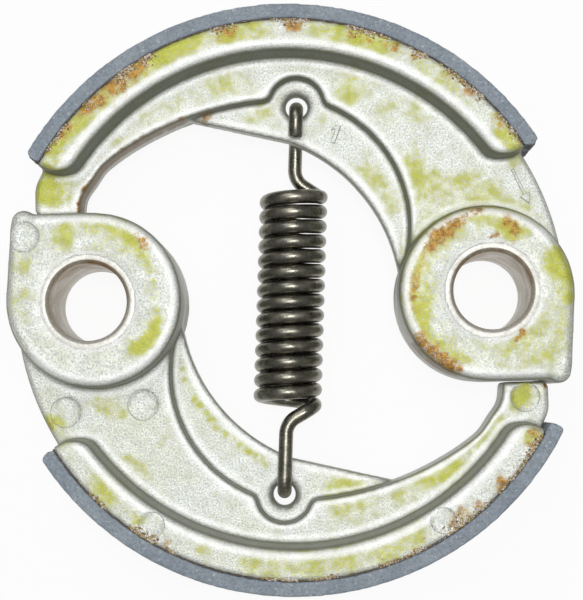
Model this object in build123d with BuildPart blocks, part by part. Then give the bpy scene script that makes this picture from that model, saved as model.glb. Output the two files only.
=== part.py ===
"""Centrifugal clutch: two cast shoes with bonded friction linings, drawn together by one tension spring.

Millimetres, +Z up. The origin lies midway between the two pivots, level with the underside of the pivot eyes.
+X runs from the lower shoe's pivot to the upper shoe's pivot. The lower shoe is the upper one turned half round.
"""

import math
import os

from build123d import *

# Clutch layout. The shoes are closed, so each friction arc lies a little inside the drum's centre.
pivot_spacing = 52.0
friction_radius = 39.0
friction_inset_x = 0.5
friction_inset_y = 0.5

# Widths along the pivot axis, all centred on the same plane
eye_width = 15.0
rim_width = 12.5
lining_width = 12.0
web_width = 6.2
flange_width = 2.8

# Lining and the rim that carries it, with the angles of their ends
lining_thickness = 2.1
bond_line = 0.05
rim_thickness = 3.9
rim_eye_end = 31.2
rim_tail_end = 149.8
rim_corner_radius = 3.0
lining_eye_end = 31.3
upper_lining_eye_lead = 1.8
lower_lining_eye_lead = 0.2
upper_lining_tail_end = 149.4
lower_lining_tail_end = 151.6
lining_corner_radius = 0.9

# Pivot eye: a round boss set slightly inboard of its bore, with a flat that the other shoe's tail rests on
pivot_bore = 10.0
bore_chamfer = 0.45
spot_face_diameter = 13.3
spot_face_depth = 0.15
eye_radius = 11.3
eye_inset_x = 0.75
eye_inset_y = 0.25
eye_side_lean = 4.5
eye_flat = 11.6
eye_lug_radius = 1.6
eye_lug_proud = 0.5

# Web between the tail and the eye: how deep it is under the rim, and where its two inner arcs are struck from
web_setback = 0.3
web_depth = 6.15
tail_gap = 0.1
tail_side_inset = 1.65
tail_width = 6.1
tail_heel_height = 2.3
tail_foot_height = 6.3
tail_outer_radius = 0.9
tail_inner_radius = 0.6
tail_bend_radius = 4.0
tail_arc_drop = 13.5
eye_arc_depth = 5.55
eye_arc_rise = 10.0
eye_arc_inset = 0.95
web_foot = 4.7

# Thin flange that the spring hooks into
spring_hole = 2.9
spring_hole_x = 1.5
spring_hole_inset = 6.85
spring_sink = 0.75
spring_relief_radius = 3.6
relief_mouth_radius = 1.3
flange_depth = 4.7
flange_bend_inset = 1.2
flange_tail_reach = 13.2
flange_tail_overlap = 0.15
flange_arc_radius = 22.8
flange_foot_overlap = 0.65

# Broken edges of the casting
eye_edge = 0.6
rim_edge = 0.5
web_edge = 0.4
flange_edge = 0.3

# Tension spring: close coil, then a leg at each end that runs to the coil's axis and hooks through its shoe
wire_diameter = 1.85
wire_sides = 8
coil_mean_diameter = 7.2
coil_turns = 14
coil_gap = 0.12
coil_chords = 12
coil_exit_radius = 1.9
leg_clearance = 0.575
leg_rise = 2.5
leg_bend_radius = 2.6
hook_radius = 1.4
hook_seat_clearance = 0.1
hook_tip = 4.0
bend_chords = 4

# Values worked out from the driving dimensions
mid_height = eye_width / 2
pivot = (pivot_spacing / 2, 0)
rim_outer = friction_radius - lining_thickness - bond_line
rim_inner = rim_outer - rim_thickness
web_outer = rim_outer - web_setback
friction_centre = (-friction_inset_x, -friction_inset_y)
rim_crown = rim_inner - friction_inset_y
eye_centre = (pivot[0] - eye_inset_x, -eye_inset_y)
tail_flat = eye_flat + tail_gap
tail_arc_centre = (0, -friction_inset_y - tail_arc_drop)
tail_arc_radius = rim_inner - web_depth + tail_arc_drop
eye_arc_centre = (-friction_inset_x - eye_arc_inset, eye_arc_rise - friction_inset_y)
eye_arc_radius = rim_inner - eye_arc_depth - eye_arc_rise
spring_hole_at = (spring_hole_x, rim_crown - spring_hole_inset)
spring_hole_reach = math.hypot(*spring_hole_at)
spring_lean = math.degrees(math.atan2(*spring_hole_at))
coil_radius = coil_mean_diameter / 2
coil_pitch = wire_diameter + coil_gap
coil_end = coil_turns * coil_pitch / 2
leg_drop = flange_width / 2 + wire_diameter / 2 + leg_clearance
upper_side = Plane.XY.offset(mid_height)
lower_side = upper_side.rotated((0, 0, 180))
spring_side = upper_side.rotated((0, 0, -spring_lean))


def on_circle(centre, radius, angle):
    """The point of a circle at an angle in degrees."""
    turn = math.radians(angle)
    return (centre[0] + radius * math.cos(turn), centre[1] + radius * math.sin(turn))


def outer_edges(part):
    """The edges of a plate's top and bottom faces."""
    levels = part.faces().filter_by(Axis.Z).sort_by(Axis.Z)
    return levels[0].edges() + levels[-1].edges()


def arc_band(inner, outer, start, end, lead=0):
    """A flat band between two radii about the friction centre. Its outer arc starts earlier by the lead angle."""
    outer_start = start - lead
    with BuildSketch() as band:
        with BuildLine():
            CenterArc(friction_centre, outer, outer_start, end - outer_start)
            CenterArc(friction_centre, inner, start, end - start)
            Line(on_circle(friction_centre, inner, start), on_circle(friction_centre, outer, outer_start))
            Line(on_circle(friction_centre, inner, end), on_circle(friction_centre, outer, end))
        make_face()
    return band.sketch


def tail_arc_height(x):
    """How high the web's inner arc on the tail side stands at a given X."""
    return tail_arc_centre[1] + math.sqrt(tail_arc_radius**2 - (x - tail_arc_centre[0]) ** 2)


def tail_outline():
    """The web from its tail flat to the spring hole, with a straight-sided foot at the tail's end."""
    flat_end = friction_centre[0] - math.sqrt(web_outer**2 - (tail_flat - friction_centre[1]) ** 2)
    side_x = flat_end + tail_side_inset
    side_top = friction_centre[1] + math.sqrt(web_outer**2 - (side_x - friction_centre[0]) ** 2)
    heel_x = side_x + tail_width
    heel_top = tail_flat + tail_heel_height
    foot_top = tail_flat + tail_foot_height
    foot_root = tail_arc_centre[0] - math.sqrt(tail_arc_radius**2 - (foot_top - tail_arc_centre[1]) ** 2)
    with BuildSketch() as tail:
        with Locations(friction_centre):
            Circle(web_outer)
        with Locations(tail_arc_centre):
            Circle(tail_arc_radius, mode=Mode.SUBTRACT)
        with BuildLine():
            Polyline(
                (-web_outer, tail_flat),
                (heel_x, tail_flat),
                (heel_x, heel_top),
                (foot_root, foot_top),
                (-web_outer, foot_top),
                close=True,
            )
        make_face()
        with Locations(friction_centre):
            Circle(web_outer, mode=Mode.INTERSECT)
        with Locations((spring_hole_x, tail_flat)):
            Rectangle(spring_hole_x - side_x, web_outer, align=(Align.MAX, Align.MIN), mode=Mode.INTERSECT)
        corners = {
            (side_x, side_top): tail_bend_radius,
            (side_x, tail_flat): tail_outer_radius,
            (heel_x, tail_flat): tail_inner_radius,
            (heel_x, heel_top): tail_bend_radius,
            (foot_root, foot_top): tail_bend_radius,
        }
        for corner, radius in corners.items():
            fillet(tail.vertices().sort_by_distance(Vector(*corner))[0], radius)
    return tail.sketch


def make_web(side):
    """The plate of the shoe from its tail to its eye, relieved round the spring hole."""
    with BuildPart() as web:
        with BuildSketch(side):
            add(tail_outline())
        extrude(amount=web_width / 2, both=True)
        with BuildSketch(side):
            with Locations(friction_centre):
                Circle(web_outer)
            with Locations(eye_arc_centre):
                Circle(eye_arc_radius, mode=Mode.SUBTRACT)
            with Locations((spring_hole_x, 0)):
                Rectangle(web_outer, web_outer, align=(Align.MIN, Align.MIN), mode=Mode.INTERSECT)
            with Locations(eye_centre):
                Rectangle(eye_radius * 2, web_foot * 2, align=(Align.MAX, Align.CENTER), mode=Mode.SUBTRACT)
        extrude(amount=web_width / 2, both=True)
        with BuildSketch(side):
            with Locations(spring_hole_at):
                Circle(spring_relief_radius)
        extrude(amount=web_width, both=True, mode=Mode.SUBTRACT)
        hole = side.from_local_coords(Vector(*spring_hole_at))
        mouth = web.edges().filter_by(Axis.Z).sort_by_distance(hole)[:2]
        fillet(mouth, relief_mouth_radius)
        chamfer(outer_edges(web), web_edge)
    return web.part


def make_flange(side):
    """The thin plate inside the web that the spring hooks into. Its outer edge is buried in the web."""
    tail = (-flange_tail_reach, tail_arc_height(-flange_tail_reach) + flange_tail_overlap)
    bend = (spring_hole_x - flange_bend_inset, spring_hole_at[1] - flange_depth)
    foot = (eye_centre[0] - eye_radius + flange_foot_overlap, 0)
    tail_angle = math.degrees(math.atan2(tail[1] - friction_centre[1], tail[0] - friction_centre[0]))
    with BuildPart() as flange:
        with BuildSketch(side):
            with BuildLine():
                Line(tail, bend)
                RadiusArc(bend, foot, flange_arc_radius)
                Line(foot, on_circle(friction_centre, rim_inner, 0))
                CenterArc(friction_centre, rim_inner, 0, tail_angle)
                Line(on_circle(friction_centre, rim_inner, tail_angle), tail)
            make_face()
        extrude(amount=flange_width / 2, both=True)
        chamfer(outer_edges(flange), flange_edge)
    return flange.part


def make_rim(side):
    """The wide band under the lining, with rounded inner corners."""
    with BuildPart() as rim:
        with BuildSketch(side) as band:
            add(arc_band(rim_inner, rim_outer, rim_eye_end, rim_tail_end))
            centre = Vector(*friction_centre)
            fillet(band.vertices().sort_by_distance(centre)[:2], rim_corner_radius)
        extrude(amount=rim_width / 2, both=True)
        joint_side = rim.edges().filter_by(GeomType.CIRCLE).sort_by(SortBy.RADIUS)[-2:]
        chamfer(outer_edges(rim) - joint_side, rim_edge)
    return rim.part


def make_eye(side):
    """The pivot boss, with the flat and the small lug beside it."""
    side_top = on_circle(eye_centre, eye_radius, -eye_side_lean)
    side_drop = eye_flat + side_top[1]
    side_foot = (side_top[0] - side_drop * math.tan(math.radians(eye_side_lean)), -eye_flat)
    lug_at = (side_foot[0] - eye_lug_radius, -eye_flat - eye_lug_proud + eye_lug_radius)
    with BuildPart() as eye:
        with BuildSketch(side) as outline:
            with Locations(eye_centre):
                Circle(eye_radius)
            with BuildLine():
                Polyline(eye_centre, side_top, side_foot, (eye_centre[0], -eye_flat), close=True)
            make_face()
            fillet(outline.vertices().sort_by_distance(Vector(*side_foot))[0], eye_lug_radius)
            with Locations(lug_at):
                Circle(eye_lug_radius)
        extrude(amount=eye_width / 2, both=True)
        chamfer(outer_edges(eye), eye_edge)
    return eye.part


def make_shoe(side):
    """One casting of web, flange, rim and eye, with its pivot bored and spot faced on both sides."""
    with BuildPart() as shoe:
        add(make_web(side))
        add(make_flange(side))
        add(make_rim(side))
        add(make_eye(side))
        for face in (-1, 1):
            with BuildSketch(side.offset(face * eye_width / 2)):
                with Locations(pivot):
                    Circle(spot_face_diameter / 2)
            extrude(amount=spot_face_depth, both=True, mode=Mode.SUBTRACT)
        with BuildSketch(side):
            with Locations(pivot):
                Circle(pivot_bore / 2)
            with Locations(spring_hole_at):
                Circle(spring_hole / 2)
        extrude(amount=eye_width, both=True, mode=Mode.SUBTRACT)
        rings = shoe.edges().filter_by(GeomType.CIRCLE)
        chamfer(rings.filter_by(lambda e: math.isclose(e.radius, pivot_bore / 2)), bore_chamfer)
        chamfer(rings.filter_by(lambda e: math.isclose(e.radius, spring_hole / 2)), spring_sink)
    return shoe.part


def make_lining(side, eye_lead, tail_end):
    """The friction strip bonded round the rim, with its outer corners worn round."""
    with BuildPart() as lining:
        with BuildSketch(side) as strip:
            add(arc_band(rim_outer + bond_line, friction_radius, lining_eye_end, tail_end, eye_lead))
            centre = Vector(*friction_centre)
            fillet(strip.vertices().sort_by_distance(centre)[-2:], lining_corner_radius)
        extrude(amount=lining_width / 2, both=True)
    return lining.part


def leg_points():
    """The upper leg's path from the coil to the hook's tip, in the spring's own frame."""
    exit_rise = leg_drop * coil_pitch / (2 * math.pi * coil_radius)
    hook_y = spring_hole_reach - (spring_hole - wire_diameter) / 2 + hook_seat_clearance
    with BuildLine() as leg:
        FilletPolyline(
            (coil_radius, coil_end, 0),
            (coil_radius, coil_end + exit_rise, -leg_drop),
            (0, coil_end + leg_rise, -leg_drop),
            (0, hook_y, -leg_drop),
            (0, hook_y, leg_drop),
            (0, hook_y - hook_tip, leg_drop),
            radius=[coil_exit_radius, leg_bend_radius, hook_radius, hook_radius],
        )
    points = [leg.wire() @ 0]
    for edge in leg.wire().order_edges():
        chords = bend_chords if edge.geom_type == GeomType.CIRCLE else 1
        points += [edge @ ((step + 1) / chords) for step in range(chords)]
    return points


def coil_points():
    """The coil's path from its lower end to its upper end, without the end points, in the spring's own frame."""
    points = []
    for step in range(1, coil_turns * coil_chords):
        turns = step / coil_chords
        x, z = on_circle((0, 0), coil_radius, -360 * turns)
        points.append(Vector(x, coil_pitch * (turns - coil_turns / 2), z))
    return points


def make_spring():
    """The tension spring: its lower leg is the upper one turned half round about the spring's own X axis."""
    upper_leg = leg_points()
    lower_leg = [Vector(point.X, -point.Y, -point.Z) for point in reversed(upper_leg)]
    route = [spring_side.from_local_coords(point) for point in lower_leg + coil_points() + upper_leg]
    with BuildPart() as spring:
        with BuildLine() as wire:
            Polyline(*route)
        with BuildSketch(Plane(origin=wire.line @ 0, z_dir=wire.line % 0)):
            RegularPolygon(radius=wire_diameter / 2, side_count=wire_sides)
        sweep(path=wire.wires()[0], transition=Transition.RIGHT)
    return spring.part


pieces = {
    "upper_shoe": make_shoe(upper_side),
    "lower_shoe": make_shoe(lower_side),
    "upper_lining": make_lining(upper_side, upper_lining_eye_lead, upper_lining_tail_end),
    "lower_lining": make_lining(lower_side, lower_lining_eye_lead, lower_lining_tail_end),
    "tension_spring": make_spring(),
}
os.makedirs("parts", exist_ok=True)
for name, piece in pieces.items():
    piece.label = name
    export_step(piece, f"parts/{name}.step")
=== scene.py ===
"""Centrifugal clutch: the finish of its castings, linings and spring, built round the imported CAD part.

Every piece is in metres, in the frame of the CAD part. The sizes below are in millimetres where a name says so.
"""

import math
import random

import bmesh
import bpy
import numpy as np
from bpy.props import FloatProperty, FloatVectorProperty, IntProperty, PointerProperty
from mathutils import Matrix, Vector, noise
from mathutils.bvhtree import BVHTree


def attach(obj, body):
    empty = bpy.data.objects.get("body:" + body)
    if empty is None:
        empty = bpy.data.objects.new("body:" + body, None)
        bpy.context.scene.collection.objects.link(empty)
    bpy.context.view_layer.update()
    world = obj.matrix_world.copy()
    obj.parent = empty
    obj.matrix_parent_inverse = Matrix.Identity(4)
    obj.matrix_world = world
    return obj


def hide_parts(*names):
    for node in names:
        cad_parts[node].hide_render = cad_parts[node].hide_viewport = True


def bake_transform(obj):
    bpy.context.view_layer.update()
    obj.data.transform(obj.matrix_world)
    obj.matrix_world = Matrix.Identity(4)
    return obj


bl_info = {
    "name": "Centrifugal Clutch",
    "version": (1, 0, 0),
    "blender": (4, 5, 0),
    "location": "3D View > Sidebar > Clutch",
    "description": "Dresses a two-shoe centrifugal clutch: castings, bores, linings, adhesive, marks and spring",
    "category": "Object",
}

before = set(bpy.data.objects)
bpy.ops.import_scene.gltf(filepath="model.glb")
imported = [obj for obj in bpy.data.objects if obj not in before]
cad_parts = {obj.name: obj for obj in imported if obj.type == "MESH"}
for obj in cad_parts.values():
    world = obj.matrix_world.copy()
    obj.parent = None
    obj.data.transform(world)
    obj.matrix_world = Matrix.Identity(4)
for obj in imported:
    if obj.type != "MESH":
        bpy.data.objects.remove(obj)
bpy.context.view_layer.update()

MM = 0.001
MID = 7.5 * MM
PIVOT = 26.0 * MM
RIM_OUTER = 36.85 * MM
# Half thicknesses of the rim, web and flange
RIM = 6.25 * MM
WEB = 3.1 * MM
FLANGE = 1.4 * MM
# How far each shoe's friction centre lies from the clutch's middle, along X and along Y
OFFSET = 0.5 * MM
# The upper shoe's hole for the spring
HOOK_HOLE = (1.5 * MM, 25.6 * MM)
# Angles round the friction centre between which adhesive can lie
JOINT_SPAN = {"upper": (32.0, 148.5), "lower": (212.0, 328.5)}
SIDES = {"upper": 1.0, "lower": -1.0}

# Where the chromate has stained the pictured faces: X, Y and reach in millimetres, then its strength
CHROMATE = {
    "upper": (
        (20.4, 8.9, 2.2, 1.0), (18.4, 7.2, 2.0, 1.0), (17.0, 5.2, 1.8, 1.0), (16.0, 2.9, 1.8, 1.0),
        (15.8, 0.1, 2.0, 1.0), (16.2, -2.5, 1.8, 1.0), (16.6, -4.8, 1.6, 0.9), (18.1, -6.8, 1.8, 0.9),
        (20.5, -8.5, 1.8, 0.8), (23.4, 10.4, 2.2, 0.9), (26.0, 10.8, 2.2, 0.9), (28.1, 9.2, 1.9, 1.2),
        (28.7, 7.6, 1.5, 1.0), (31.1, 8.6, 1.8, 0.6), (34.7, 3.9, 2.0, 0.9), (35.4, 1.7, 1.8, 0.9),
        (35.4, -0.9, 1.6, 0.8), (33.4, 2.9, 1.6, 0.6), (29.2, -5.2, 1.6, 0.8), (26.0, -7.7, 2.4, 0.3),
        (29.1, -8.8, 2.6, 0.3), (22.7, -9.5, 2.2, 0.35), (18.9, -0.8, 1.8, 0.35), (32.8, -5.3, 2.0, 0.35),
        (33.7, -7.9, 2.4, 0.35), (34.6, -3.6, 2.4, 0.35), (31.4, -7.7, 2.4, 0.3), (-31.0, 20.2, 1.6, 0.8), (-29.6, 21.6, 1.8, 0.9), (-27.7, 23.3, 2.0, 0.85),
        (-25.8, 24.9, 2.0, 0.85), (-23.4, 26.7, 2.0, 0.75), (-21.3, 28.1, 1.8, 0.7), (-18.9, 30.0, 1.8, 0.9),
        (-17.1, 31.4, 1.8, 1.0), (-15.2, 32.4, 1.8, 1.0), (-13.4, 33.3, 1.8, 1.0), (-11.3, 34.0, 1.6, 0.9),
        (-7.4, 34.6, 1.8, 1.0), (-5.3, 35.0, 2.0, 0.8), (-2.7, 35.1, 1.8, 0.5), (4.9, 34.8, 2.0, 0.55),
        (7.2, 34.3, 2.0, 0.6), (9.8, 33.6, 2.0, 1.0), (12.0, 32.7, 1.9, 1.0), (14.3, 31.7, 1.8, 0.6),
        (18.4, 29.5, 2.2, 0.5), (21.0, 27.6, 2.0, 0.5), (23.0, 25.1, 1.8, 0.4), (28.8, 20.1, 1.7, 1.2),
        (29.8, 19.3, 1.2, 0.9), (27.8, 22.1, 1.3, 0.6), (9.3, 27.9, 2.2, 0.6), (8.0, 26.6, 2.0, 0.5),
        (13.8, 24.8, 2.2, 0.4), (17.5, 24.3, 2.0, 0.45), (16.8, 15.7, 2.4, 0.5), (19.1, 14.6, 2.2, 0.5),
        (22.0, 14.5, 2.2, 0.4), (24.4, 14.8, 1.8, 0.5), (26.6, 13.2, 1.8, 0.5), (17.5, 12.4, 2.0, 0.5),
        (16.2, 18.0, 1.8, 0.5), (29.7, 17.1, 1.4, 0.5), (30.4, 11.4, 2.0, 0.5), (-9.6, 28.5, 2.0, 0.5),
        (-6.9, 28.8, 2.2, 0.5), (-13.8, 25.7, 2.2, 0.4), (-17.8, 24.5, 2.0, 0.4), (-21.9, 21.5, 1.8, 0.35),
        (-31.9, 14.3, 1.8, 0.9), (-30.7, 16.5, 2.2, 1.0), (-31.6, 15.6, 1.6, 0.9), (-29.7, 13.9, 1.8, 0.5),
        (-3.1, 25.0, 2.2, 0.6), (10.5, 16.8, 1.8, 0.5), (12.0, 14.9, 1.8, 0.5), (13.4, 12.3, 1.8, 0.5),
        (5.2, 23.1, 1.6, 0.3),
    ),
    "lower": (
        (-29.0, 9.6, 1.2, 0.8), (-28.1, 8.5, 1.1, 0.9), (-25.4, 10.1, 1.2, 0.6), (-23.9, 10.1, 1.2, 0.7),
        (-22.4, 9.5, 1.3, 0.8), (-21.0, 8.8, 1.4, 0.9), (-19.9, 7.8, 1.3, 0.9), (-19.2, 6.5, 1.1, 0.8),
        (-18.5, 5.1, 0.9, 0.7), (-17.9, 3.5, 0.8, 0.6), (-17.6, 1.9, 0.7, 0.6), (-17.2, 0.3, 0.7, 0.5),
        (-17.0, -1.3, 0.8, 0.6), (-17.0, -2.9, 1.0, 0.8), (-17.4, -4.2, 1.2, 0.9), (-18.2, -5.3, 1.2, 0.9),
        (-19.6, -6.2, 1.2, 0.9), (-24.2, 6.6, 2.0, 0.4), (-29.4, 7.4, 1.6, 0.4), (-34.3, 5.0, 1.6, 0.5),
        (-34.8, 1.1, 1.6, 0.5), (-34.2, -2.1, 1.4, 0.3), (-23.2, -6.3, 1.6, 0.3), (-31.4, -15.4, 1.3, 1.0),
        (-25.6, -12.8, 1.4, 0.5), (-23.9, -13.5, 1.5, 0.5), (-22.3, -14.5, 1.2, 0.6), (-21.7, -20.1, 1.0, 0.5),
        (-20.4, -21.3, 1.1, 0.5), (-19.4, -22.5, 1.2, 0.35), (-17.5, -18.0, 2.4, 0.25), (16.8, -23.8, 1.7, 1.1),
        (19.4, -23.2, 1.8, 0.9), (20.8, -22.3, 1.6, 0.8), (5.7, -27.3, 2.0, 0.6), (8.7, -26.8, 2.0, 0.6),
        (13.9, -26.0, 2.4, 0.5), (23.9, -19.2, 2.0, 0.6), (26.2, -16.6, 1.6, 0.6), (29.9, -13.1, 1.9, 1.0),
        (29.1, -13.9, 1.4, 0.8), (32.5, -12.5, 1.0, 0.6), (-14.5, -8.9, 0.6, 0.6), (-14.0, -10.1, 0.6, 0.7),
        (-13.5, -11.3, 0.6, 0.7), (-12.9, -12.6, 0.6, 0.8), (-12.3, -13.6, 0.6, 0.8), (-11.6, -14.6, 0.6, 0.8),
        (-10.9, -15.5, 0.6, 0.8), (-10.0, -16.5, 0.6, 0.8), (-9.1, -17.4, 0.6, 0.8), (-8.1, -18.2, 0.6, 0.8),
        (-7.1, -19.0, 0.6, 0.8), (-6.1, -19.7, 0.6, 0.8), (-5.1, -20.4, 0.7, 0.8), (-4.0, -21.2, 0.6, 0.7),
        (4.9, -24.6, 1.7, 0.7), (6.9, -24.2, 1.7, 0.7), (8.7, -24.1, 1.4, 0.5), (-24.7, -23.1, 1.8, 0.7),
        (-23.9, -24.7, 1.6, 0.7), (-20.5, -27.7, 1.4, 0.6), (-11.9, -31.7, 1.4, 0.6), (-29.3, -18.5, 1.2, 0.4),
        (-6.0, -34.3, 2.2, 0.6), (-2.2, -34.0, 2.2, 0.6), (1.4, -34.2, 2.4, 0.7), (6.1, -33.8, 2.4, 0.7),
        (11.0, -32.7, 2.2, 0.8), (13.5, -31.6, 1.9, 0.7), (15.5, -30.4, 1.6, 0.7), (30.6, -18.9, 1.4, 0.8),
        (21.6, -28.3, 1.4, 0.4),
    ),
}

# Where adhesive and heat have browned them: X, Y, reach and strength as above
AMBER = {
    "upper": (
        (22.3, 9.2, 0.8, 0.7), (21.5, 8.6, 1.0, 0.9), (20.4, 7.8, 1.2, 1.0), (19.3, 6.9, 1.2, 1.0),
        (18.3, 6.1, 1.0, 0.9), (17.2, 4.7, 0.8, 0.5), (16.8, 3.5, 0.7, 0.4), (16.2, 2.1, 0.8, 0.7),
        (15.9, 0.7, 0.9, 0.8), (15.8, -0.6, 0.8, 0.7), (15.9, -2.0, 0.7, 0.4), (16.3, -5.1, 0.7, 0.7),
        (16.8, -6.2, 0.9, 1.0), (17.5, -7.1, 1.0, 1.0), (18.4, -7.9, 1.1, 1.0), (19.4, -8.8, 1.1, 1.0),
        (20.4, -9.5, 0.9, 1.0), (21.3, -10.0, 0.7, 0.9), (23.4, 10.2, 0.7, 0.7), (24.6, 10.5, 0.8, 0.9),
        (27.8, 9.2, 1.0, 0.55), (28.0, 8.4, 0.9, 0.6), (29.2, 8.0, 0.7, 0.9), (28.8, 7.1, 0.7, 1.0),
        (26.0, 6.9, 0.4, 1.0), (26.7, 6.9, 0.4, 1.0), (28.7, 5.9, 0.4, 0.7), (29.5, -5.2, 0.9, 0.9),
        (28.7, -6.2, 0.7, 0.7), (-31.1, 20.2, 0.9, 0.9), (-29.3, 22.3, 1.1, 1.0), (-28.2, 23.3, 0.8, 0.8),
        (-25.8, 25.3, 1.3, 0.9), (-24.2, 26.5, 1.4, 0.9), (-22.4, 28.0, 1.4, 1.0), (-21.1, 29.0, 1.3, 1.0),
        (-19.7, 30.0, 1.3, 1.0), (-18.5, 31.0, 0.9, 1.0), (-7.9, 35.0, 1.1, 1.0), (-6.8, 34.9, 0.9, 0.8),
        (0.8, 35.8, 1.0, 1.1), (1.8, 35.7, 1.1, 1.1), (9.0, 34.0, 0.8, 0.7), (11.1, 33.1, 0.9, 0.8),
        (14.3, 32.2, 0.9, 0.9), (17.5, 30.7, 0.9, 0.8), (21.6, 28.3, 0.9, 0.8), (24.1, 26.2, 1.0, 0.9),
        (27.8, 22.0, 0.9, 0.9), (30.2, 19.3, 0.7, 0.9), (-10.7, 24.6, 0.9, 0.9), (-26.9, 12.4, 0.9, 1.0),
        (-26.9, 13.5, 0.9, 1.0), (-26.4, 14.8, 0.9, 1.0), (-25.7, 15.9, 0.9, 1.0), (-24.8, 17.0, 0.9, 1.0),
        (-23.7, 18.0, 0.9, 1.0), (-22.5, 19.0, 0.9, 1.0), (-21.2, 19.9, 0.9, 1.0), (-19.8, 20.8, 0.9, 1.0),
        (-18.3, 21.6, 0.9, 1.0), (-16.8, 22.3, 0.9, 1.0), (-15.2, 23.0, 0.8, 0.9), (-13.6, 23.6, 0.8, 0.8),
    ),
    "lower": (
        (-18.8, 7.7, 0.9, 0.8), (-18.3, 7.0, 0.7, 0.7), (-29.3, 10.5, 0.6, 0.6), (-31.5, -15.7, 0.7, 0.5),
        (-25.8, -25.9, 0.7, 0.7), (-18.5, -30.4, 0.8, 0.7), (-16.7, -31.2, 0.8, 0.6), (21.3, -28.4, 1.0, 0.7),
        (23.2, -27.3, 0.9, 0.8), (19.9, -29.4, 0.9, 0.7), (26.5, -24.5, 0.9, 1.0), (25.9, -25.4, 0.8, 0.8),
        (30.5, -19.9, 0.7, 0.9), (30.9, -18.1, 0.8, 0.9), (32.8, -12.3, 0.7, 0.9), (16.4, -31.2, 0.7, 0.6),
    ),
}

# Ejector-pin marks: X, Y and radius in millimetres, and which face they are on
PIN_MARKS = {
    "upper": ((29.7, 14.1, 1.95, -1), (19.6, 13.4, 1.95, -1), (-30.2, 13.75, 1.85, -1), (18.5, 28.77, 1.6, -1),
              (-18.8, 29.2, 1.6, -1)),
    "lower": ((-29.7, -14.1, 1.95, 1), (-19.6, -13.4, 1.95, 1), (30.2, -13.75, 1.85, 1), (-18.5, -28.77, 1.6, 1),
              (18.8, -29.2, 1.6, 1), (-34.0, 8.6, 1.9, 1)),
}

# Stretches of the joint, in degrees round the shoe's own friction centre, where adhesive has been squeezed out
SQUEEZE = {
    "upper": ((140, 146, 0.8), (117, 134, 1.3), (99, 103, 0.9), (83, 91, 1.3), (65, 76, 1.0), (57, 62, 1.0),
              (43, 55, 1.1), (32, 39, 0.8)),
    "lower": ((315, 331, 1.0), (300, 312, 1.3), (287, 297, 0.7), (232, 244, 1.1), (223, 227, 0.9), (262, 276, 0.4)),
}


class CastingSettings(bpy.types.PropertyGroup):
    """Sizes and colours of the two cast shoes."""

    grid: FloatProperty(
        name="Grid", description="Spacing of the casting's mesh", default=0.32 * MM, precision=5, unit="LENGTH"
    )
    smooth_passes: IntProperty(name="Smoothing", description="Passes that even out the grid and keep edges", default=5)
    round_passes: IntProperty(name="Edge rounding", description="Passes that round every cast edge", default=1)
    rim_draft: FloatProperty(
        name="Rim draft", description="Lean of the rim's inner wall", default=0.7 * MM, precision=5, unit="LENGTH"
    )
    pin_depth: FloatProperty(
        name="Pin mark depth", description="Depth of the ejector-pin marks", default=0.18 * MM, precision=5, unit="LENGTH"
    )
    waviness: FloatProperty(
        name="Waviness", description="Unevenness of the cast skin", default=0.03 * MM, precision=6, unit="LENGTH"
    )
    alloy: FloatVectorProperty(
        name="Alloy", description="Colour of the clean alloy", subtype="COLOR", size=4, default=(0.87, 0.89, 0.86, 1)
    )
    hollow: FloatVectorProperty(
        name="Hollow", description="Colour in the grain's hollows", subtype="COLOR", size=4, default=(0.5, 0.53, 0.48, 1)
    )
    # Colour of the painted shade on the inner step walls, the other upright walls getting a lighter painted shade; also
    # the colour of the burr outlines
    wall: FloatVectorProperty(
        name="Wall", description="Colour of the upright cast walls", subtype="COLOR", size=4, default=(0.26, 0.28, 0.22, 1)
    )
    # Colour of the painted highlight on rounded edges, in concave wall roots and on the bores' spot faces
    painted_highlight: FloatVectorProperty(
        name="Rubbed", description="Colour of the rubbed edges", subtype="COLOR", size=4, default=(0.94, 0.95, 0.93, 1)
    )
    chromate: FloatVectorProperty(
        name="Chromate", description="Colour of the chromate stain", subtype="COLOR", size=4, default=(0.55, 0.56, 0.085, 1)
    )
    amber: FloatVectorProperty(
        name="Amber", description="Colour of the browned patches", subtype="COLOR", size=4, default=(0.5, 0.27, 0.025, 1)
    )


class BoreSettings(bpy.types.PropertyGroup):
    """Sizes and colour of the machined pivot bores."""

    radius: FloatProperty(name="Radius", description="Radius of the bore", default=5.0 * MM, precision=5, unit="LENGTH")
    chamfer: FloatProperty(
        name="Chamfer", description="Chamfer at each end", default=0.45 * MM, precision=5, unit="LENGTH"
    )
    facing: FloatProperty(
        name="Facing", description="Radius of the spot face", default=6.65 * MM, precision=5, unit="LENGTH"
    )
    depth: FloatProperty(
        name="Facing depth", description="Depth of the spot face", default=0.15 * MM, precision=5, unit="LENGTH"
    )
    lip: FloatProperty(name="Lip", description="Radius of the turned lip", default=5.9 * MM, precision=5, unit="LENGTH")
    metal: FloatVectorProperty(
        name="Metal", description="Colour of the machined metal", subtype="COLOR", size=4, default=(0.78, 0.77, 0.72, 1)
    )
    bloom: FloatVectorProperty(
        name="Bloom", description="Brown bloom inside the bore", subtype="COLOR", size=4, default=(0.34, 0.21, 0.07, 1)
    )


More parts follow.
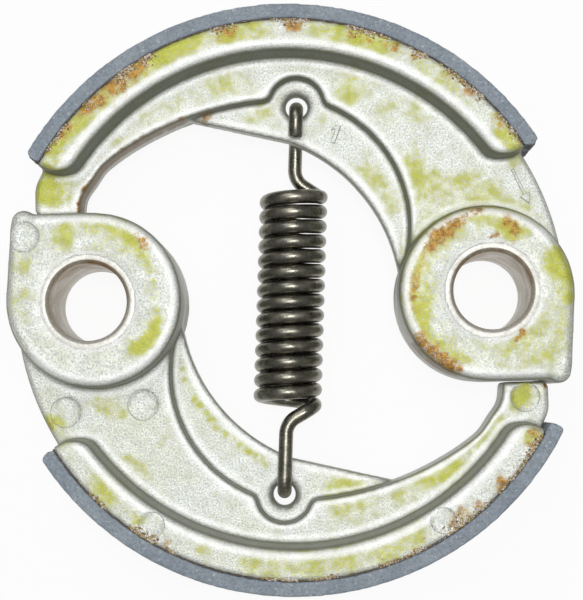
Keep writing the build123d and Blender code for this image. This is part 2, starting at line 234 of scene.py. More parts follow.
class LiningSettings(bpy.types.PropertyGroup):
    """Sizes and colours of the friction linings."""

    grid: FloatProperty(
        name="Grid", description="Spacing of the lining's mesh", default=0.3 * MM, precision=5, unit="LENGTH"
    )
    roughness: FloatProperty(
        name="Roughness", description="Height of the rough skin", default=0.06 * MM, precision=6, unit="LENGTH"
    )
    torn: FloatProperty(
        name="Torn ends", description="Depth of the tearing at the sawn ends", default=0.3 * MM, precision=5, unit="LENGTH"
    )
    resin: FloatVectorProperty(
        name="Resin", description="Main colour", subtype="COLOR", size=4, default=(0.27, 0.32, 0.37, 1)
    )
    fibre: FloatVectorProperty(
        name="Fibre", description="Colour of the pale flecks", subtype="COLOR", size=4, default=(0.6, 0.63, 0.66, 1)
    )
    pore: FloatVectorProperty(
        name="Pore", description="Colour of the dark pores", subtype="COLOR", size=4, default=(0.1, 0.11, 0.12, 1)
    )


class SpringSettings(bpy.types.PropertyGroup):
    """Sizes and colours of the tension spring."""

    wire: FloatProperty(name="Wire", description="Wire diameter", default=1.85 * MM, precision=5, unit="LENGTH")
    coil: FloatProperty(name="Coil", description="Mean coil diameter", default=7.2 * MM, precision=5, unit="LENGTH")
    pitch: FloatProperty(name="Pitch", description="Rise of each turn", default=1.97 * MM, precision=5, unit="LENGTH")
    turns: IntProperty(name="Turns", description="Turns in the coil", default=14)
    leg_drop: FloatProperty(
        name="Leg drop", description="How far each leg lies from the mid plane", default=2.9 * MM, precision=5, unit="LENGTH"
    )
    leg_rise: FloatProperty(
        name="Leg rise", description="From the coil's end to the leg's bend", default=2.5 * MM, precision=5, unit="LENGTH"
    )
    hook_reach: FloatProperty(
        name="Hook reach", description="From the coil's middle to the hook", default=25.22 * MM, precision=5, unit="LENGTH"
    )
    hook_tip: FloatProperty(
        name="Hook tip", description="Length of the hook's tip", default=4.0 * MM, precision=5, unit="LENGTH"
    )
    lean: FloatProperty(
        name="Lean", description="Lean of the spring in its plane", default=math.atan2(*HOOK_HOLE), subtype="ANGLE"
    )
    steel: FloatVectorProperty(
        name="Steel", description="Colour of the blackened wire", subtype="COLOR", size=4, default=(0.25, 0.245, 0.205, 1)
    )
    worn: FloatVectorProperty(
        name="Worn", description="Colour where the black is rubbed", subtype="COLOR", size=4, default=(0.47, 0.44, 0.36, 1)
    )


class AdhesiveSettings(bpy.types.PropertyGroup):
    """Sizes and colours of the squeezed-out adhesive."""

    crumb: FloatProperty(
        name="Crumb", description="Length of a usual crumb", default=0.2 * MM, precision=5, unit="LENGTH"
    )
    bead: FloatProperty(
        name="Bead", description="Radius of the bead in the joint", default=0.11 * MM, precision=5, unit="LENGTH"
    )
    dark: FloatVectorProperty(
        name="Dark resin", description="Colour of the bead", subtype="COLOR", size=4, default=(0.07, 0.05, 0.035, 1)
    )
    resin: FloatVectorProperty(
        name="Resin", description="Colour of the set adhesive", subtype="COLOR", size=4, default=(0.3, 0.19, 0.07, 1)
    )
    gold: FloatVectorProperty(
        name="Gold resin", description="Colour of its clear places", subtype="COLOR", size=4, default=(0.64, 0.51, 0.22, 1)
    )
    # Pale crumbs: the colour of thin resin, and painted glints on the crumbs
    pale: FloatVectorProperty(
        name="Pale resin", description="Colour of its thin places", subtype="COLOR", size=4, default=(0.85, 0.8, 0.74, 1)
    )


class StageSettings(bpy.types.PropertyGroup):
    """Camera, floor and lamps."""

    height: FloatProperty(name="Height", description="Height of the camera", default=219 * MM, unit="LENGTH")
    across: FloatProperty(name="Across", description="Camera's place along X", default=2.5 * MM, unit="LENGTH")
    along: FloatProperty(name="Along", description="Camera's place along Y", default=-13.5 * MM, unit="LENGTH")
    aim: FloatVectorProperty(
        name="Aim",
        description="Tilt of the camera from straight down, and the turn of its picture",
        subtype="EULER",
        default=(math.radians(3.618), math.radians(0.747), math.radians(-1.601)),
    )
    lens: FloatProperty(name="Lens", description="Focal length in millimetres", default=95.79)
    floor: FloatVectorProperty(
        name="Floor", description="Colour of the floor", subtype="COLOR", size=4, default=(0.95, 0.95, 0.95, 1)
    )


def new_piece(name, mesh, body, material):
    """A smooth-shaded object that rides on a body."""
    piece = bpy.data.objects.new(name, mesh)
    bpy.context.scene.collection.objects.link(piece)
    mesh.shade_smooth()
    mesh.materials.clear()
    mesh.materials.append(material)
    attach(piece, body)
    return piece


def mesh_points(mesh):
    points = np.empty(len(mesh.vertices) * 3)
    mesh.vertices.foreach_get("co", points)
    return points.reshape(-1, 3)


def mesh_normals(mesh):
    normals = np.empty(len(mesh.vertices) * 3, np.float32)
    mesh.vertex_normals.foreach_get("vector", normals)
    return normals.reshape(-1, 3)


def set_points(mesh, points):
    mesh.vertices.foreach_set("co", points.astype(np.float32).ravel())
    mesh.update()


def set_field(mesh, name, values):
    field = mesh.attributes.new(name, "FLOAT", "POINT")
    field.data.foreach_set("value", values.astype(np.float32))


def regrid(node, grid):
    """A copy of a CAD node's skin on an even grid of small faces."""
    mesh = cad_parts[node].data.copy()
    work = bmesh.new()
    work.from_mesh(mesh)
    bmesh.ops.remove_doubles(work, verts=work.verts, dist=0.001 * MM)
    work.to_mesh(mesh)
    work.free()
    holder = bpy.data.objects.new(node + "_grid", mesh)
    bpy.context.scene.collection.objects.link(holder)
    remesh = holder.modifiers.new("Even grid", "REMESH")
    remesh.mode = "VOXEL"
    remesh.voxel_size = grid
    depsgraph = bpy.context.evaluated_depsgraph_get()
    made = bpy.data.meshes.new_from_object(holder.evaluated_get(depsgraph))
    bpy.data.objects.remove(holder)
    bpy.data.meshes.remove(mesh)
    return made


def relax(mesh, points, weight, passes):
    """Moves each point towards the mean of its neighbours, by its own weight."""
    ends = np.empty(len(mesh.edges) * 2, np.int32)
    mesh.edges.foreach_get("vertices", ends)
    a, b = ends.reshape(-1, 2).T
    count = len(points)
    degree = np.bincount(a, minlength=count) + np.bincount(b, minlength=count)
    for _ in range(passes):
        near = np.stack(
            [np.bincount(a, points[b, k], count) + np.bincount(b, points[a, k], count) for k in range(3)], 1
        )
        points = points + weight[:, None] * (near / degree[:, None] - points)
    return points


def waves(points, size, seed):
    """Smooth noise from about -1 to 1 at each point, with features of the given size in metres."""
    offset = Vector((seed * 17.3, seed * 5.1, seed * 9.7))
    return np.array([noise.noise(Vector(p) / size + offset) for p in points])


def stains(points, places):
    """How strongly a list of stained places reaches each point, from 0 to 1, with uneven edges."""
    x_now = points[:, 0] / MM + 0.5 * waves(points, 1.3 * MM, 41.0)
    y_now = points[:, 1] / MM + 0.5 * waves(points, 1.3 * MM, 43.0)
    clear = np.ones(len(points))
    for x, y, reach, strength in places:
        square = (x_now - x) ** 2 + (y_now - y) ** 2
        clear *= 1 - min(strength, 1.0) * np.exp(-square / (reach * reach))
    return 1 - clear


def step(values, low, high):
    """A smooth step from 0 at low to 1 at high."""
    t = np.clip((values - low) / (high - low), 0, 1)
    return t * t * (3 - 2 * t)


class Nodes:
    """Short names for wiring one material's shader."""

    def __init__(self, name):
        self.material = bpy.data.materials.new(name)
        self.material.use_nodes = True
        self.tree = self.material.node_tree
        self.tree.nodes.clear()
        self.shader = self.add("ShaderNodeBsdfPrincipled")
        out = self.add("ShaderNodeOutputMaterial")
        self.link(self.shader.outputs["BSDF"], out.inputs["Surface"])
        self.place = self.add("ShaderNodeTexCoord").outputs["Object"]

    def add(self, kind, **values):
        node = self.tree.nodes.new(kind)
        for key, value in values.items():
            setattr(node, key, value)
        return node

    def link(self, source, target):
        self.tree.links.new(source, target)

    def plug(self, socket, value):
        if isinstance(value, bpy.types.NodeSocket):
            self.link(value, socket)
        else:
            socket.default_value = value

    def set(self, **values):
        for key, value in values.items():
            self.plug(self.shader.inputs[key.replace("_", " ")], value)

    def noise(self, size, detail=3.0, roughness=0.55, stretch=None):
        """Noise from 0 to 1, with features of the given size in millimetres."""
        texture = self.add("ShaderNodeTexNoise")
        texture.inputs["Scale"].default_value = 1 / (size * MM)
        texture.inputs["Detail"].default_value = detail
        texture.inputs["Roughness"].default_value = roughness
        source = self.place
        if stretch:
            mapping = self.add("ShaderNodeMapping")
            mapping.inputs["Scale"].default_value = stretch
            self.link(self.place, mapping.inputs["Vector"])
            source = mapping.outputs["Vector"]
        self.link(source, texture.inputs["Vector"])
        return texture.outputs["Fac"]

    def cells(self, size):
        """Distance to the middle of the nearest cell, in cells of the given size in millimetres."""
        texture = self.add("ShaderNodeTexVoronoi")
        texture.inputs["Scale"].default_value = 1 / (size * MM)
        self.link(self.place, texture.inputs["Vector"])
        return texture.outputs["Distance"]

    def field(self, name):
        return self.add("ShaderNodeAttribute", attribute_name=name).outputs["Fac"]

    def remap(self, value, low, high, to_low=0.0, to_high=1.0):
        node = self.add("ShaderNodeMapRange", interpolation_type="SMOOTHSTEP")
        for key, number in zip(("From Min", "From Max", "To Min", "To Max"), (low, high, to_low, to_high)):
            node.inputs[key].default_value = number
        self.link(value, node.inputs["Value"])
        return node.outputs["Result"]

    def math(self, operation, first, second):
        node = self.add("ShaderNodeMath", operation=operation)
        self.plug(node.inputs[0], first)
        self.plug(node.inputs[1], second)
        return node.outputs[0]

    def mix(self, amount, first, second, blend="MIX"):
        node = self.add("ShaderNodeMix", data_type="RGBA", blend_type=blend)
        self.plug(node.inputs["Factor"], amount)
        self.plug(node.inputs[6], first)
        self.plug(node.inputs[7], second)
        return node.outputs[2]

    def bump(self, height, depth, below=None):
        """A bump of the given depth in millimetres."""
        node = self.add("ShaderNodeBump")
        node.inputs["Distance"].default_value = depth * MM
        self.link(height, node.inputs["Height"])
        if below:
            self.link(below, node.inputs["Normal"])
        return node.outputs["Normal"]


def cast_skin(settings):
    """Dull die-cast alloy: sandy grain, yellow chromate patches and browned spots, with pale painted highlights on
    edges, in wall roots and on spot faces, and dark painted shade on upright walls and where edges turn.
    """
    n = Nodes("die_cast_skin")
    grain = n.noise(0.24, 3, 0.7)
    mottle = n.noise(1.8, 4, 0.65)
    drift = n.noise(7.0, 2)
    up = n.add("ShaderNodeSeparateXYZ")
    n.link(n.add("ShaderNodeNewGeometry").outputs["Normal"], up.inputs[0])
    level = n.math("ABSOLUTE", up.outputs["Z"], 0)
    upright = n.remap(level, 0.35, 0.8, 1.0, 0.0)
    painted_highlight = n.field("painted_highlight")
    speck = n.remap(grain, 0.36, 0.62)
    seed = n.math("ADD", n.field("chromate"), n.remap(mottle, 0.25, 0.75, -0.3, 0.3))
    seed = n.math("ADD", seed, n.remap(grain, 0.3, 0.7, -0.35, 0.35))
    haze = n.math("MULTIPLY", n.remap(drift, 0.4, 0.65), n.remap(grain, 0.35, 0.65, 0.02, 0.2))
    film = n.math("MAXIMUM", n.remap(seed, 0.1, 0.95), haze)
    film = n.math("MULTIPLY", film, n.remap(painted_highlight, 0.0, 1.0, 1.0, 0.15))
    burn = n.math("ADD", n.field("amber"), n.remap(n.noise(1.0, 3), 0.25, 0.75, -0.3, 0.3))
    burn = n.math("ADD", burn, n.remap(grain, 0.3, 0.7, -0.25, 0.25))
    burn = n.remap(burn, 0.25, 0.95)
    clean = n.mix(speck, settings.hollow, settings.alloy)
    # Painted highlight on edges, wall roots and spot faces, broken up by the grain
    clean = n.mix(n.math("MULTIPLY", painted_highlight, n.remap(grain, 0.3, 0.6, 0.5, 0.95)), clean, settings.painted_highlight)
    stain = n.mix(n.remap(grain, 0.35, 0.6, 0.6, 0.0), settings.chromate, (0.5, 0.58, 0.45, 1), "MULTIPLY")
    brown = n.mix(n.remap(n.noise(0.45, 3, 0.7), 0.4, 0.62), settings.amber, (0.26, 0.12, 0.03, 1))
    # Light grain flecks in the browned patches: painted glints
    brown = n.mix(n.remap(grain, 0.58, 0.68), brown, (0.75, 0.56, 0.27, 1))
    colour = n.mix(burn, n.mix(film, clean, stain), brown)
    # Painted shade on upright walls: dark on the inner step walls, lighter grey on the others, browned where the amber
    # stain reaches
    wall = n.mix(n.field("painted_wall_shade"), (0.68, 0.68, 0.63, 1), settings.wall)
    wall = n.mix(n.remap(n.field("amber"), 0.1, 0.5, 0.0, 0.85), wall, (0.3, 0.22, 0.15, 1))
    wall = n.mix(n.remap(grain, 0.35, 0.6, 0.5, 0.0), wall, (0.55, 0.56, 0.52, 1), "MULTIPLY")
    colour = n.mix(n.math("MULTIPLY", upright, 0.92), colour, wall)
    # Painted shade: a dark line where the skin turns from flat to upright
    painted_edge_shade = n.math("MULTIPLY", n.remap(level, 0.2, 0.45), n.remap(level, 0.6, 0.85, 0.6, 0.0))
    colour = n.mix(painted_edge_shade, colour, (0.2, 0.2, 0.15, 1))
    colour = n.mix(n.math("MULTIPLY", n.field("outline"), 0.6), colour, settings.wall)
    rough = n.math("ADD", n.remap(mottle, 0.3, 0.7, 0.38, 0.5), n.math("MULTIPLY", upright, 0.14))
    skin = n.bump(grain, 0.07)
    skin = n.bump(n.noise(1.1, 3), 0.04, skin)
    n.set(Base_Color=colour, Metallic=0.4, Roughness=rough, Normal=skin)
    return n.material


def bored_metal(settings):
    """Bored metal with fine turning lines and a brown bloom inside the bore."""
    n = Nodes("bored_metal")
    lines = n.noise(0.12, 2, 0.5, stretch=(0.05, 0.05, 1))
    bloom = n.noise(3.5, 3)
    inside = n.field("inside")
    colour = n.mix(n.math("MULTIPLY", inside, n.remap(bloom, 0.35, 0.62, 0.55, 1.0)), settings.metal, settings.bloom)
    colour = n.mix(n.remap(n.noise(0.35, 2), 0.35, 0.65, 0.4, 0.0), colour, (0.55, 0.56, 0.5, 1), "MULTIPLY")
    rough = n.math("ADD", n.remap(bloom, 0.3, 0.7, 0.3, 0.42), n.remap(inside, 0.0, 1.0, 0.14, 0.0))
    n.set(Base_Color=colour, Metallic=0.5, Roughness=rough, Normal=n.bump(lines, 0.02))
    return n.material


def friction_facing(settings):
    """Resin-bonded friction material with pale flecks and dark pores, streaked where it is sawn."""
    n = Nodes("friction_facing")
    drift = n.noise(3.0, 4, 0.6)
    speck = n.noise(0.36, 3, 0.75)
    fleck = n.remap(n.noise(0.5, 3, 0.7), 0.58, 0.7)
    pore = n.remap(n.cells(0.6), 0.1, 0.26, 1.0, 0.0)
    pore = n.math("MULTIPLY", pore, n.remap(n.noise(1.3, 2), 0.45, 0.65))
    colour = n.mix(n.remap(drift, 0.35, 0.7, 0.0, 0.9), settings.resin, (0.38, 0.43, 0.48, 1))
    colour = n.mix(n.remap(n.noise(0.9, 4, 0.7), 0.6, 0.72, 0.0, 0.6), colour, settings.fibre)
    colour = n.mix(n.remap(speck, 0.35, 0.62, 0.55, 0.0), colour, (0.5, 0.52, 0.55, 1), "MULTIPLY")
    colour = n.mix(n.math("MULTIPLY", fleck, 0.85), colour, settings.fibre)
    colour = n.mix(n.math("MULTIPLY", pore, 0.7), colour, settings.pore)
    streak = n.remap(n.noise(0.45, 3, 0.6, stretch=(1, 1, 0.12)), 0.38, 0.6, 0.35, 1.0)
    colour = n.mix(n.math("MULTIPLY", n.field("sawn"), streak), colour, (0.045, 0.04, 0.036, 1))
    skin = n.bump(speck, 0.09)
    n.set(Base_Color=colour, Roughness=n.remap(drift, 0.3, 0.7, 0.5, 0.72), Normal=skin)
    return n.material


def blackened_wire(settings):
    """Oil-blackened drawn wire, rubbed brown in places."""
    n = Nodes("blackened_wire")
    cloud = n.noise(1.6, 4, 0.6)
    colour = n.mix(n.remap(cloud, 0.42, 0.72, 0.0, 0.8), settings.steel, settings.worn)
    colour = n.mix(n.remap(n.noise(0.3, 3, 0.7), 0.35, 0.7, 0.5, 0.0), colour, (0.35, 0.33, 0.3, 1), "MULTIPLY")
    rough = n.remap(cloud, 0.3, 0.7, 0.25, 0.36)
    n.set(Base_Color=colour, Metallic=1.0, Roughness=rough, Normal=n.bump(n.noise(0.25, 3), 0.02))
    return n.material


def set_resin(settings):
    """Hard set adhesive: a dark bead, and crumbs from brown through gold to pale, each with its own shade; the pale
    crumbs stand for thin pale resin and painted glints.
    """
    n = Nodes("set_resin")
    shade = n.field("shade")
    colour = n.mix(n.remap(shade, -0.4, 0.0), settings.dark, settings.resin)
    colour = n.mix(n.remap(shade, 0.4, 0.55), colour, settings.gold)
    # Pale crumbs: thin pale resin and painted glints
    colour = n.mix(n.remap(shade, 0.72, 0.82), colour, settings.pale)
    colour = n.mix(n.remap(n.noise(0.25, 2), 0.4, 0.65, 0.5, 0.0), colour, (0.5, 0.36, 0.25, 1), "MULTIPLY")
    n.set(Base_Color=colour, Roughness=n.remap(n.noise(0.4, 2), 0.3, 0.7, 0.12, 0.35), Coat_Weight=0.4,
          Normal=n.bump(n.noise(0.2, 3), 0.04))
    return n.material


def draft_rim(points, centre, turn, draft):
    """Leans the rim's inner wall, so that it meets the web nearer the clutch's middle than it starts."""
    spread = points[:, :2] - centre
    reach = np.hypot(*spread.T)
    angle = np.degrees(np.arctan2(spread[:, 1] * turn, spread[:, 0] * turn))
    rise = np.clip((np.abs(points[:, 2] - MID) - WEB) / (RIM - WEB), 0, 1)
    along = step(angle, 31, 35) * step(angle, 150, 146)
    within = step(reach, 29.5 * MM, 32.8 * MM) * step(reach, 35.5 * MM, 34.5 * MM)
    pull = draft * (1 - rise) * along * within
    return np.column_stack((points[:, :2] - spread / reach[:, None] * pull[:, None], points[:, 2]))


def tear_hole(points, height, normals, turn):
    """Roughens the skin round the spring's hole, most on the lower shoe's pictured face, and returns where."""
    near = np.hypot(points[:, 0] - HOOK_HOLE[0] * turn, points[:, 1] - HOOK_HOLE[1] * turn)
    crinkle = waves(points, 0.55 * MM, 51.0 + turn)
    most = np.where((height > 0) & (turn < 0), 1.0, 0.4)
    torn = step(near + 0.35 * MM * crinkle, 2.35 * MM, 1.9 * MM) * most * (np.abs(normals[:, 2]) > 0.6)
    points[:, 2] += np.sign(height) * torn * crinkle * 0.16 * MM
    return torn * step(np.abs(crinkle), 0.3, 0.02)


def lay_casting(side, settings, bore, material):
    """One shoe: the CAD skin with its rim drafted, its edges rounded, its pin marks sunk and its stains placed."""
    turn = SIDES[side]
    mesh = regrid(side + "_shoe", settings.grid)
    points = mesh_points(mesh)
    centre = np.array((-OFFSET * turn, -OFFSET * turn))
    joint = step(np.hypot(*(points[:, :2] - centre).T), 36.0 * MM, 36.5 * MM)
    free = 1 - 0.85 * joint
    for _ in range(settings.smooth_passes):
        points = relax(mesh, points, 0.5 * free, 1)
        points = relax(mesh, points, -0.52 * free, 1)
    points = relax(mesh, points, 0.5 * free, settings.round_passes)
    points = draft_rim(points, centre, turn, settings.rim_draft)
    set_points(mesh, points)
    normals = mesh_normals(mesh)
    height = points[:, 2] - MID
    flat = step(np.abs(normals[:, 2]), 0.7, 0.95)
    calm = relax(mesh, points, np.full(len(points), 0.5), 50)
    lift = ((points - calm) * normals).sum(1)
    # Painted highlight on near-flat skin: along rounded convex edges, weaker in concave wall roots, none on the rim's
    # outer edge by the lining
    painted_highlight = np.maximum(step(lift, 0.03 * MM, 0.22 * MM), 0.7 * step(-lift, 0.04 * MM, 0.22 * MM)) * flat
    painted_highlight *= step(np.hypot(*(points[:, :2] - centre).T), 35.0 * MM, 34.2 * MM)
    for x, y, radius, face in PIN_MARKS[side]:
        near = np.hypot(points[:, 0] - x * MM, points[:, 1] - y * MM)
        here = flat * (height * face > 2.5 * MM)
        sunk = step(near, (radius + 0.05) * MM, (radius - 0.2) * MM) * here
        points[:, 2] -= face * sunk * settings.pin_depth
        painted_highlight *= 1 - 0.8 * sunk
    burr = tear_hole(points, height, normals, turn)
    wave = waves(points, 2.6 * MM, 1.0 + turn) + 0.4 * waves(points, 0.9 * MM, 3.0 + turn)
    points += normals * ((wave - 1.2) * 0.5 * settings.waviness * (1 - joint))[:, None]
    spread = points[:, :2] - np.array((PIVOT * turn, 0.0))
    radial = np.hypot(*spread.T)
    outward = spread / np.maximum(radial, 1e-9)[:, None]
    face_side = np.abs(height) > 7.0 * MM
    points[:, 2] -= np.sign(height) * np.where((radial < bore.lip - 0.05 * MM) & face_side, 0.25 * MM, 0.0)
    points[:, :2] += outward * np.maximum(bore.lip - 0.1 * MM - radial, 0.0)[:, None]
    points[:, 2] = np.clip(points[:, 2], 0.002 * MM, 2 * MID - 0.002 * MM)
    set_points(mesh, points)
    faced = step(radial, bore.facing + 0.25 * MM, bore.facing - 0.25 * MM) * face_side
    top = step(height, -1.0 * MM, 0.5 * MM)
    under = step(waves(points, 6.0 * MM, 9.0 + turn), 0.1, 0.6) * 0.6
    set_field(mesh, "chromate", (top * stains(points, CHROMATE[side]) + (1 - top) * under) * (1 - 0.5 * faced))
    under = step(waves(points, 3.0 * MM, 12.0 + turn), 0.45, 0.8) * 0.7
    set_field(mesh, "amber", top * stains(points, AMBER[side]) + (1 - top) * under)
    # The bores' spot faces get painted highlight as well
    set_field(mesh, "painted_highlight", np.maximum(painted_highlight, 0.7 * faced))
    set_field(mesh, "outline", burr)
    own_x, own_y = points[:, 0] * turn, points[:, 1] * turn
    # Where the dark painted shade goes: the walls standing above the web, and some walls between flange and web; weaker
    # on the lower shoe, whose step walls face the light
    above = step(np.abs(height), 2.9 * MM, 3.5 * MM) * step(own_y, -3.0 * MM, 1.0 * MM)
    beside = step(np.abs(height), 1.1 * MM, 1.6 * MM) * step(own_x, -14.5 * MM, -12.5 * MM)
    beside *= step(own_y, -1.5 * MM, 1.0 * MM) * (joint == 0)
    set_field(mesh, "painted_wall_shade", np.maximum(above, beside) * (1.0 if side == "upper" else 0.6))
    piece = new_piece(side + "_casting", mesh, side, material)
    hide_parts(side + "_shoe")
    lay_pin_rings(side, mesh, material)


def lay_pin_rings(side, casting, material):
    """The thin burr round each ejector-pin mark, laid on the casting's own skin."""
    skin = BVHTree.FromPolygons([v.co for v in casting.vertices], [p.vertices for p in casting.polygons])
    work = bmesh.new()
    outline = work.verts.layers.float.new("outline")
    around = 64
    for x, y, radius, face in PIN_MARKS[side]:
        above, down = Vector((x * MM, y * MM, MID + face * 10 * MM)), Vector((0, 0, -face))
        level = skin.ray_cast(above, down)[0].z
        rows = []
        for k in range(around):
            out = Vector((math.cos(2 * math.pi * k / around), math.sin(2 * math.pi * k / around), 0))
            reaches = [(radius + 0.05 + offset) * MM for offset in (-0.08, -0.03, 0.03, 0.08)]
            hits = [skin.ray_cast(above + out * reach, down)[0] for reach in reaches]
            rows.append(None)
            if all(hit and abs(hit.z - level) < 0.3 * MM for hit in hits):
                lifts = (-0.06, 0.025, 0.025, -0.06)
                rows[-1] = [work.verts.new(hit + Vector((0, 0, face * lift * MM))) for hit, lift in zip(hits, lifts)]
                for vert in rows[-1]:
                    vert.co.z = min(max(vert.co.z, 0.002 * MM), 2 * MID - 0.002 * MM)
                    vert[outline] = 1.0
        for k in range(around):
            before, here, there = rows[k - 1], rows[k], rows[(k + 1) % around]
            if here and there:
                for m in range(4):
                    work.faces.new((here[m], here[(m + 1) % 4], there[(m + 1) % 4], there[m]))
            if here and bool(before) != bool(there):
                work.faces.new(here)
    bmesh.ops.recalc_face_normals(work, faces=work.faces)
    mesh = bpy.data.meshes.new(side + "_pin_rings")
    work.to_mesh(mesh)
    work.free()
    new_piece(side + "_pin_rings", mesh, side, material)


def lay_bore(side, bore, material):
    """The machined bore of one shoe, with its chamfers and a narrow turned lip, as one closed ring."""
    low, high = bore.depth - 0.01 * MM, 2 * MID - bore.depth + 0.01 * MM
    wall, mouth, lip = bore.radius, bore.radius + bore.chamfer, bore.lip
    profile = (
        (lip + 0.3 * MM, high - 0.04 * MM), (lip, high), (mouth + 0.05 * MM, high), (mouth - 0.03 * MM, high - 0.03 * MM),
        (wall + 0.03 * MM, high - bore.chamfer + 0.03 * MM), (wall, high - bore.chamfer - 0.05 * MM),
        (wall, low + bore.chamfer + 0.05 * MM), (wall + 0.03 * MM, low + bore.chamfer - 0.03 * MM),
        (mouth - 0.03 * MM, low + 0.03 * MM), (mouth + 0.05 * MM, low), (lip, low),
        (lip + 0.3 * MM, low + 0.04 * MM), (lip + 0.35 * MM, low + 0.3 * MM), (lip + 0.35 * MM, high - 0.3 * MM),
    )
    around = 96
    points, faces, inside = [], [], []
    for k in range(around):
        angle = 2 * math.pi * k / around
        for radius, z in profile:
            points.append((PIVOT * SIDES[side] + radius * math.cos(angle), radius * math.sin(angle), z))
            depth = 0.0 if radius > mouth else 0.8 if radius > wall + 0.1 * MM else 1.0 if z > MID else 0.5
            inside.append(depth * (0.6 + 0.4 * math.sin(angle)))
    size = len(profile)
    for k in range(around):
        for m in range(size):
            here, there = k * size, (k + 1) % around * size
            faces.append((here + m, here + (m + 1) % size, there + (m + 1) % size, there + m))
    mesh = bpy.data.meshes.new(side + "_bore")
    mesh.from_pydata(points, [], faces)
    mesh.update()
    set_field(mesh, "inside", np.array(inside))
    new_piece(side + "_bore", mesh, side, material)
    mesh.set_sharp_from_angle(angle=math.radians(50))


def stretch_end(points, turn):
    """Draws the outer side of a lining's tail end out, so that its end lies straight across."""
    spread = (points[:, :2] + OFFSET * turn) * turn
    reach = np.hypot(*spread.T)
    angle = np.arctan2(spread[:, 1], spread[:, 0])
    outer = np.clip((reach - 36.9 * MM) / (2.1 * MM), 0, 1)
    angle += math.radians(0.9) * outer * step(np.degrees(angle), 146, 151)
    moved = np.column_stack((np.cos(angle), np.sin(angle))) * reach[:, None] * turn - OFFSET * turn
    return np.column_stack((moved, points[:, 2]))


def lay_lining(side, settings, material):
    """One lining: the CAD strip with worn corners, a rough skin and torn, sawn ends."""
    turn = SIDES[side]
    mesh = regrid(side + "_lining", settings.grid)
    points = relax(mesh, mesh_points(mesh), np.full(len(mesh.vertices), 0.5), 3)
    if side == "lower":
        points = stretch_end(points, turn)
    set_points(mesh, points)
    normals = mesh_normals(mesh)
    spread = (points[:, :2] + OFFSET * turn) * turn
    reach = np.hypot(*spread.T)
    angle = np.degrees(np.arctan2(spread[:, 1], spread[:, 0]))
    across = np.abs(normals[:, 1] * spread[:, 0] - normals[:, 0] * spread[:, 1]) / reach
    sawn = step(across, 0.45, 0.8) * ((angle < 34) | (angle > 147))
    rough = waves(points, 0.8 * MM, 20.0 + turn) + 0.5 * waves(points, 0.45 * MM, 24.0 + turn)
    torn = np.abs(waves(points, 0.7 * MM, 28.0 + turn)) + np.abs(waves(points, 1.6 * MM, 31.0 + turn))
    outer = step(reach, 37.2 * MM, 37.6 * MM)
    push = (rough - 1.4) * 0.5 * settings.roughness * outer * (1 - sawn) - sawn * torn * settings.torn
    points += normals * push[:, None]
    set_points(mesh, points)
    set_field(mesh, "sawn", sawn)
    piece = new_piece(side + "_lining_strip", mesh, side, material)
    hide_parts(side + "_lining")


def rounded(corners, radii, spacing):
    """Points along a bent wire: straight runs with an arc of its own radius at each inner corner."""
    points = [corners[0]]
    for before, corner, after, radius in zip(corners, corners[1:], corners[2:], radii):
        back, ahead = (before - corner).normalized(), (after - corner).normalized()
        half = back.angle(ahead) / 2
        centre = corner + (back + ahead).normalized() * (radius / math.sin(half))
        start = corner + back * (radius / math.tan(half)) - centre
        sweep = math.pi - 2 * half
        axis = back.cross(ahead)
        count = max(4, round(radius * sweep / spacing))
        for k in range(count + 1):
            points.append(centre + Matrix.Rotation(-sweep * k / count, 3, axis) @ start)
    points.append(corners[-1])
    return points


def spring_route(settings):
    """The spring's centre line from its middle to the upper hook's tip, in the spring's own frame."""
    radius = settings.coil / 2
    end = settings.turns * settings.pitch / 2
    drop = settings.leg_drop
    route = []
    around = 56
    for k in range(settings.turns * around // 2):
        turn = settings.turns / 2 + k / around
        angle = -2 * math.pi * turn
        route.append(Vector((radius * math.cos(angle), settings.pitch * turn - end, radius * math.sin(angle))))
    corners = [
        Vector((radius, end, 0)),
        Vector((radius, end + drop * settings.pitch / (math.pi * settings.coil), -drop)),
        Vector((0, end + settings.leg_rise, -drop)),
        Vector((0, settings.hook_reach, -drop)),
        Vector((0, settings.hook_reach, drop)),
        Vector((0, settings.hook_reach - settings.hook_tip, drop)),
    ]
    leg = rounded(corners, [1.9 * MM, 2.6 * MM, 1.4 * MM, 1.4 * MM], 0.2 * MM)
    return route + leg


def wire_mesh(name, route, radius):
    """A round wire along a route, with its ends cut square and lightly broken."""
    sides = 20
    line = [p for k, p in enumerate(route) if k == 0 or (p - route[k - 1]).length > 0.01 * MM]
    tangents = [(line[min(k + 1, len(line) - 1)] - line[max(k - 1, 0)]).normalized() for k in range(len(line))]
    across = tangents[0].orthogonal().normalized()
    rings = []
    for k, (point, tangent) in enumerate(zip(line, tangents)):
        if k:
            across = tangents[k - 1].rotation_difference(tangent) @ across
        across = (across - tangent * across.dot(tangent)).normalized()
        up = tangent.cross(across)
        rings.append((point, across, up, radius))
    tip, across, up, size = rings[-1]
    rings[-1] = (tip - tangents[-1] * 0.18 * MM, across, up, size)
    rings.append((tip, across, up, size - 0.18 * MM))
    points, faces = [], []
    for point, across, up, size in rings:
        for m in range(sides):
            angle = 2 * math.pi * m / sides
            points.append(point + (across * math.cos(angle) + up * math.sin(angle)) * size)
    for k in range(len(rings) - 1):
        for m in range(sides):
            here, there, after = k * sides, (k + 1) * sides, (m + 1) % sides
            faces.append((here + m, here + after, there + after, there + m))
    faces.append(tuple(reversed(range(sides))))
    faces.append(tuple(range(len(points) - sides, len(points))))
    mesh = bpy.data.meshes.new(name)
    mesh.from_pydata(points, [], faces)
    mesh.update()
    return mesh


